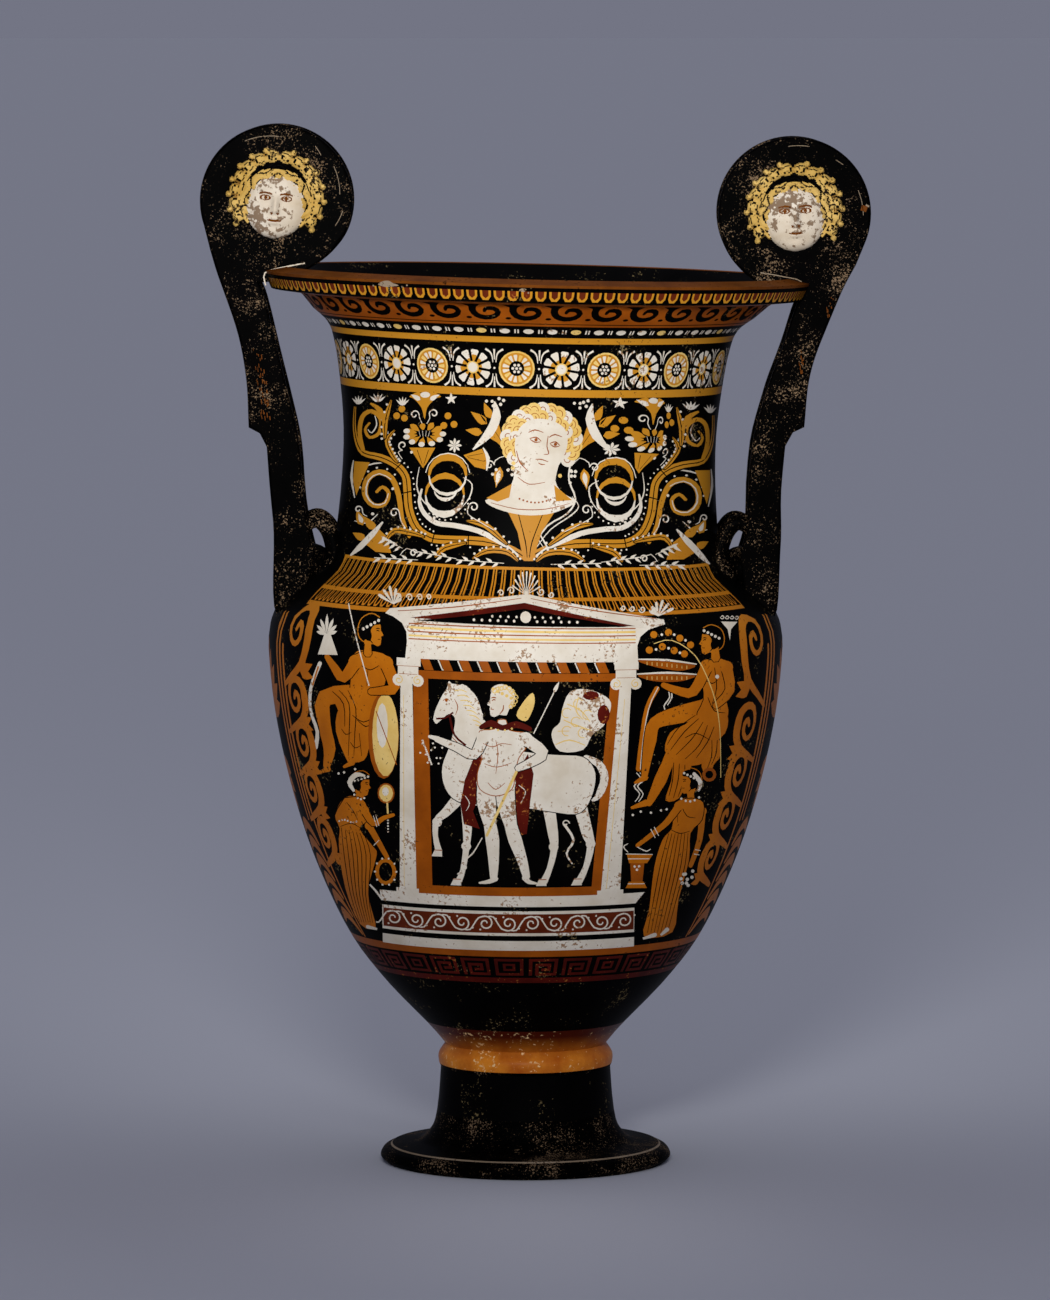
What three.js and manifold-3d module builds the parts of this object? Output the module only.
// A large South Italian volute krater: a deep bowl on a hollow pedestal foot, a wide neck with an
// overhanging lip, and two flanged handles that rise past the lip into volutes closed by masks.
// It is one fired pot: the foot, bowl, neck and handles were joined as wet clay.
// Millimetres, +Z up, the painted front faces -Y, the foot stands on Z = 0.
import * as THREE from "three";
import { mergeVertices } from "three/addons/utils/BufferGeometryUtils.js";
import Module from "manifold-3d";

const wasm = await Module();
wasm.setup();

// Heights of the parts of the pot.
const FOOT_H = 107;
const SHOULDER_Z = 499;
const NECK_Z = 542;
const LIP_UNDER_Z = 780;
const LIP_EDGE_Z = 799;
const RIM_Z = 803;

// Radii of the parts of the pot.
const FOOT_R = 131;
const STEM_R = 76.5;
const JOINT_R = 72.5;
const BELLY_R = 231;
const NECK_R = 167;
const LIP_R = 242;
const MOUTH_R = 224;
const WALL = 10;
const FACETS = 44;

// The handles: a strap between two upright flanges, coiled at the top into a volute.
const VOLUTE_X = 233;
const VOLUTE_Z = 864;
const VOLUTE_R = 68.5;
const HANDLE_DEPTH = 78;
const FLANGE = 12;
const STRAP_INSET = 7;
const STEP_Z = 661;
const PAD_R = 18;

// The masks on the front and back of each volute.
const FACE_W = 51;
const FACE_H = 60;
const FACE_DROP = 6;
const MASK_RISE = 13;
const HAIR_R = 36;
const CURL_R = 12.5;
const CURLS = 9;

// The swan necks that prop each handle, front and back.
const SWAN_TUBE = 6;
const SWAN_Y = 31;

// The pot was set a little askew: from the shoulder up it leans to the right.
const LEAN_DEG = 1.4;
const LEAN_FROM_Z = 470;
const LEAN_FULL_Z = 560;
const LEAN_PIVOT_Z = 500;
const FOOT_X = -9;

// A smooth curve through a few points, sampled evenly.
function curve(points, samples) {
  const spline = new THREE.SplineCurve(points.map(([r, z]) => new THREE.Vector2(r, z)));
  return spline.getPoints(samples);
}

const outerFoot = curve([[126, 0], [FOOT_R, 5], [128, 11.5], [122, 14.5]], 4)
  .concat(curve([[112, 18.5], [93, 29], [83, 43], [78.5, 64], [STEM_R, 86]], 5))
  .concat(curve([[78.3, 92], [78.3, 98], [JOINT_R, FOOT_H]], 2));

const outerBowl = curve([[87, 124], [128, 167], [160, 211], [190, 276], [211, 341], [225, 406],
  [BELLY_R, 462], [229.5, 486], [225, SHOULDER_Z]], 11);

const outerNeck = curve([[204, 519], [178, NECK_Z], [170.5, 580], [NECK_R, 645], [171, 699],
  [180.5, 748], [198, 767], [209, LIP_UNDER_Z]], 11);

const lip = [[LIP_R - 7, LIP_UNDER_Z + 3], [LIP_R, LIP_EDGE_Z], [MOUTH_R, RIM_Z]]
  .map(([r, z]) => new THREE.Vector2(r, z));

// The inside runs from the mouth down to the floor of the bowl, one wall in from the outside.
const inside = curve([[200, 787], [171, 748], [161, 699], [NECK_R - WALL, 645], [160.5, 580], [169, 538]], 5)
  .concat(curve([[212, 497], [BELLY_R - WALL, 464], [215, 406], [201, 341], [180, 276], [150, 211],
    [117, 167], [74, 131], [0, 118]], 8));

// The pedestal is hollow beneath and rests on a narrow ring.
const footHollow = curve([[0, 96], [48, 91], [65, 70], [70, 46], [84, 25], [108, 12], [117, 0]], 5);

const profile = footHollow
  .concat(outerFoot, outerBowl, outerNeck, lip, inside)
  .map((p) => new THREE.Vector2(Math.max(0, p.x), p.y));
profile[0].x = 0;
profile[profile.length - 1].x = 0;

// Any closed three.js geometry as a solid, with its seam and poles welded.
function solid(geometry) {
  const plain = geometry.index ? geometry.toNonIndexed() : geometry.clone();
  plain.deleteAttribute("normal");
  plain.deleteAttribute("uv");
  const welded = mergeVertices(plain, 1e-4);
  const from = welded.index.array;
  const tris = [];
  for (let i = 0; i < from.length; i += 3) {
    const [a, b, c] = [from[i], from[i + 1], from[i + 2]];
    if (a !== b && b !== c && c !== a) {
      tris.push(a, b, c);
    }
  }
  const mesh = new wasm.Mesh({
    numProp: 3,
    vertProperties: new Float32Array(welded.attributes.position.array),
    triVerts: new Uint32Array(tris),
  });
  return new wasm.Manifold(mesh);
}

function vessel() {
  const lathe = new THREE.LatheGeometry(profile, FACETS);
  lathe.rotateX(Math.PI / 2);
  return solid(lathe);
}

// Edges of the right handle's arm seen from the front: distance from the axis, height.
const ARM_INNER = [[242, 788], [236, 774], [224, 730], [212, 687], [202, 644], [197, 585], [190, 555]];
const ARM_LOWER = [[214, 486], [225, 503], [226.5, 560], [228, 601], [231.5, 644]];
const ARM_STEP = [[238, STEP_Z - 5], [248, STEP_Z]];
const ARM_UPPER = [[248.5, STEP_Z + 8], [251, 703], [259, 741], [275, 785], [288, 817]];

// The handle's outline in its own plane; the strap's outline is set in from the flanges'.
function handleShape(inset, stepped) {
  const along = (rows, dx) => rows.map(([x, z]) => new THREE.Vector2(x + dx, z));
  const coil = new THREE.EllipseCurve(VOLUTE_X, VOLUTE_Z, VOLUTE_R - inset, VOLUTE_R - inset,
    -0.35, 1.32 * Math.PI);
  return new THREE.Shape([
    ...along(ARM_LOWER, -inset),
    ...along(stepped ? ARM_STEP : [], 0),
    ...along(ARM_UPPER, -inset),
    ...coil.getPoints(20),
    new THREE.Vector2(214, LIP_EDGE_Z - 8),
    ...along(ARM_INNER, inset),
    new THREE.Vector2(196 + inset, 520),
  ]);
}

function slab(shape, depth, middleY) {
  const geometry = new THREE.ExtrudeGeometry(shape, { depth, bevelEnabled: false });
  geometry.rotateX(Math.PI / 2);
  geometry.translate(0, middleY + depth / 2, 0);
  return solid(geometry);
}

function ball(rx, ry, rz, x, y, z, around, up) {
  const geometry = new THREE.SphereGeometry(1, around, up);
  geometry.rotateX(Math.PI / 2);
  geometry.scale(rx, ry, rz);
  geometry.translate(x, y, z);
  return solid(geometry);
}

// One mask: an oval face with a nose, framed by a crown of round curls.
function mask(side) {
  const y = side * (HANDLE_DEPTH / 2);
  const z = VOLUTE_Z - FACE_DROP;
  const parts = [
    ball(FACE_W / 2, MASK_RISE, FACE_H / 2, VOLUTE_X, y, z, 12, 8),
    ball(4, 5, 9, VOLUTE_X, y + side * (MASK_RISE - 1), z - 2, 5, 4),
  ];
  for (let i = 0; i < CURLS; i += 1) {
    const angle = Math.PI * (-0.16 + (1.32 * i) / (CURLS - 1));
    const x = VOLUTE_X + HAIR_R * Math.cos(angle);
    parts.push(ball(CURL_R, 8.5, CURL_R, x, y, z + HAIR_R * Math.sin(angle) * 1.06, 6, 4));
  }
  return parts;
}

// One swan: its neck springs from the arm, arches over and comes down on the shoulder.
function swan(side) {
  const y = side * SWAN_Y;
  const path = new THREE.CatmullRomCurve3([
    new THREE.Vector3(202, y, 566),
    new THREE.Vector3(197, y, 580),
    new THREE.Vector3(186, y, 583),
    new THREE.Vector3(176, y, 571),
    new THREE.Vector3(172, y, 552),
    new THREE.Vector3(176, y, 536),
  ]);
  const round = new THREE.Shape();
  round.absarc(0, 0, SWAN_TUBE, 0, 2 * Math.PI, false);
  const tube = new THREE.ExtrudeGeometry(round, { steps: 7, curveSegments: 3, extrudePath: path });
  return [solid(tube), ball(9, 7, 8, 180, side * (SWAN_Y + 4), 540, 6, 4)];
}

function handle() {
  const flangeY = (HANDLE_DEPTH - FLANGE) / 2;
  const parts = [
    slab(handleShape(STRAP_INSET, false), HANDLE_DEPTH - 2 * FLANGE + 2, 0),
    slab(handleShape(0, true), FLANGE, -flangeY),
    slab(handleShape(0, true), FLANGE, flangeY),
  ];
  const pad = new THREE.CylinderGeometry(PAD_R, PAD_R, HANDLE_DEPTH - 6, 12);
  pad.translate(200, 0, 533);
  parts.push(solid(pad));
  for (const side of [-1, 1]) {
    parts.push(...mask(side), ...swan(side));
  }
  return parts.reduce((whole, piece) => whole.add(piece));
}

function lean(positions) {
  for (let i = 0; i < positions.length; i += 3) {
    const x = positions[i];
    const z = positions[i + 2];
    const t = THREE.MathUtils.smoothstep(z, LEAN_FROM_Z, LEAN_FULL_Z);
    const a = THREE.MathUtils.degToRad(LEAN_DEG) * t;
    const up = z - LEAN_PIVOT_Z;
    positions[i] = x * Math.cos(a) + up * Math.sin(a) + FOOT_X;
    positions[i + 2] = LEAN_PIVOT_Z + up * Math.cos(a) - x * Math.sin(a);
  }
}

const right = handle();
const left = right.mirror([1, 0, 0]);
const pot = vessel().add(right).add(left);
const fired = pot.getMesh();
const positions = new Float32Array((fired.vertProperties.length / fired.numProp) * 3);
for (let i = 0; i < positions.length / 3; i += 1) {
  positions.set(fired.vertProperties.subarray(i * fired.numProp, i * fired.numProp + 3), i * 3);
}
lean(positions);

const geometry = new THREE.BufferGeometry();
geometry.setAttribute("position", new THREE.BufferAttribute(positions, 3));
geometry.setIndex(new THREE.BufferAttribute(new Uint32Array(fired.triVerts), 1));
geometry.computeVertexNormals();

const gloss = new THREE.MeshStandardMaterial({ color: "#1a1412", roughness: 0.35, metalness: 0 });
const krater = new THREE.Mesh(geometry, gloss);
krater.name = "krater";

const part = new THREE.Group();
part.name = "volute_krater";
part.add(krater);
export default part;
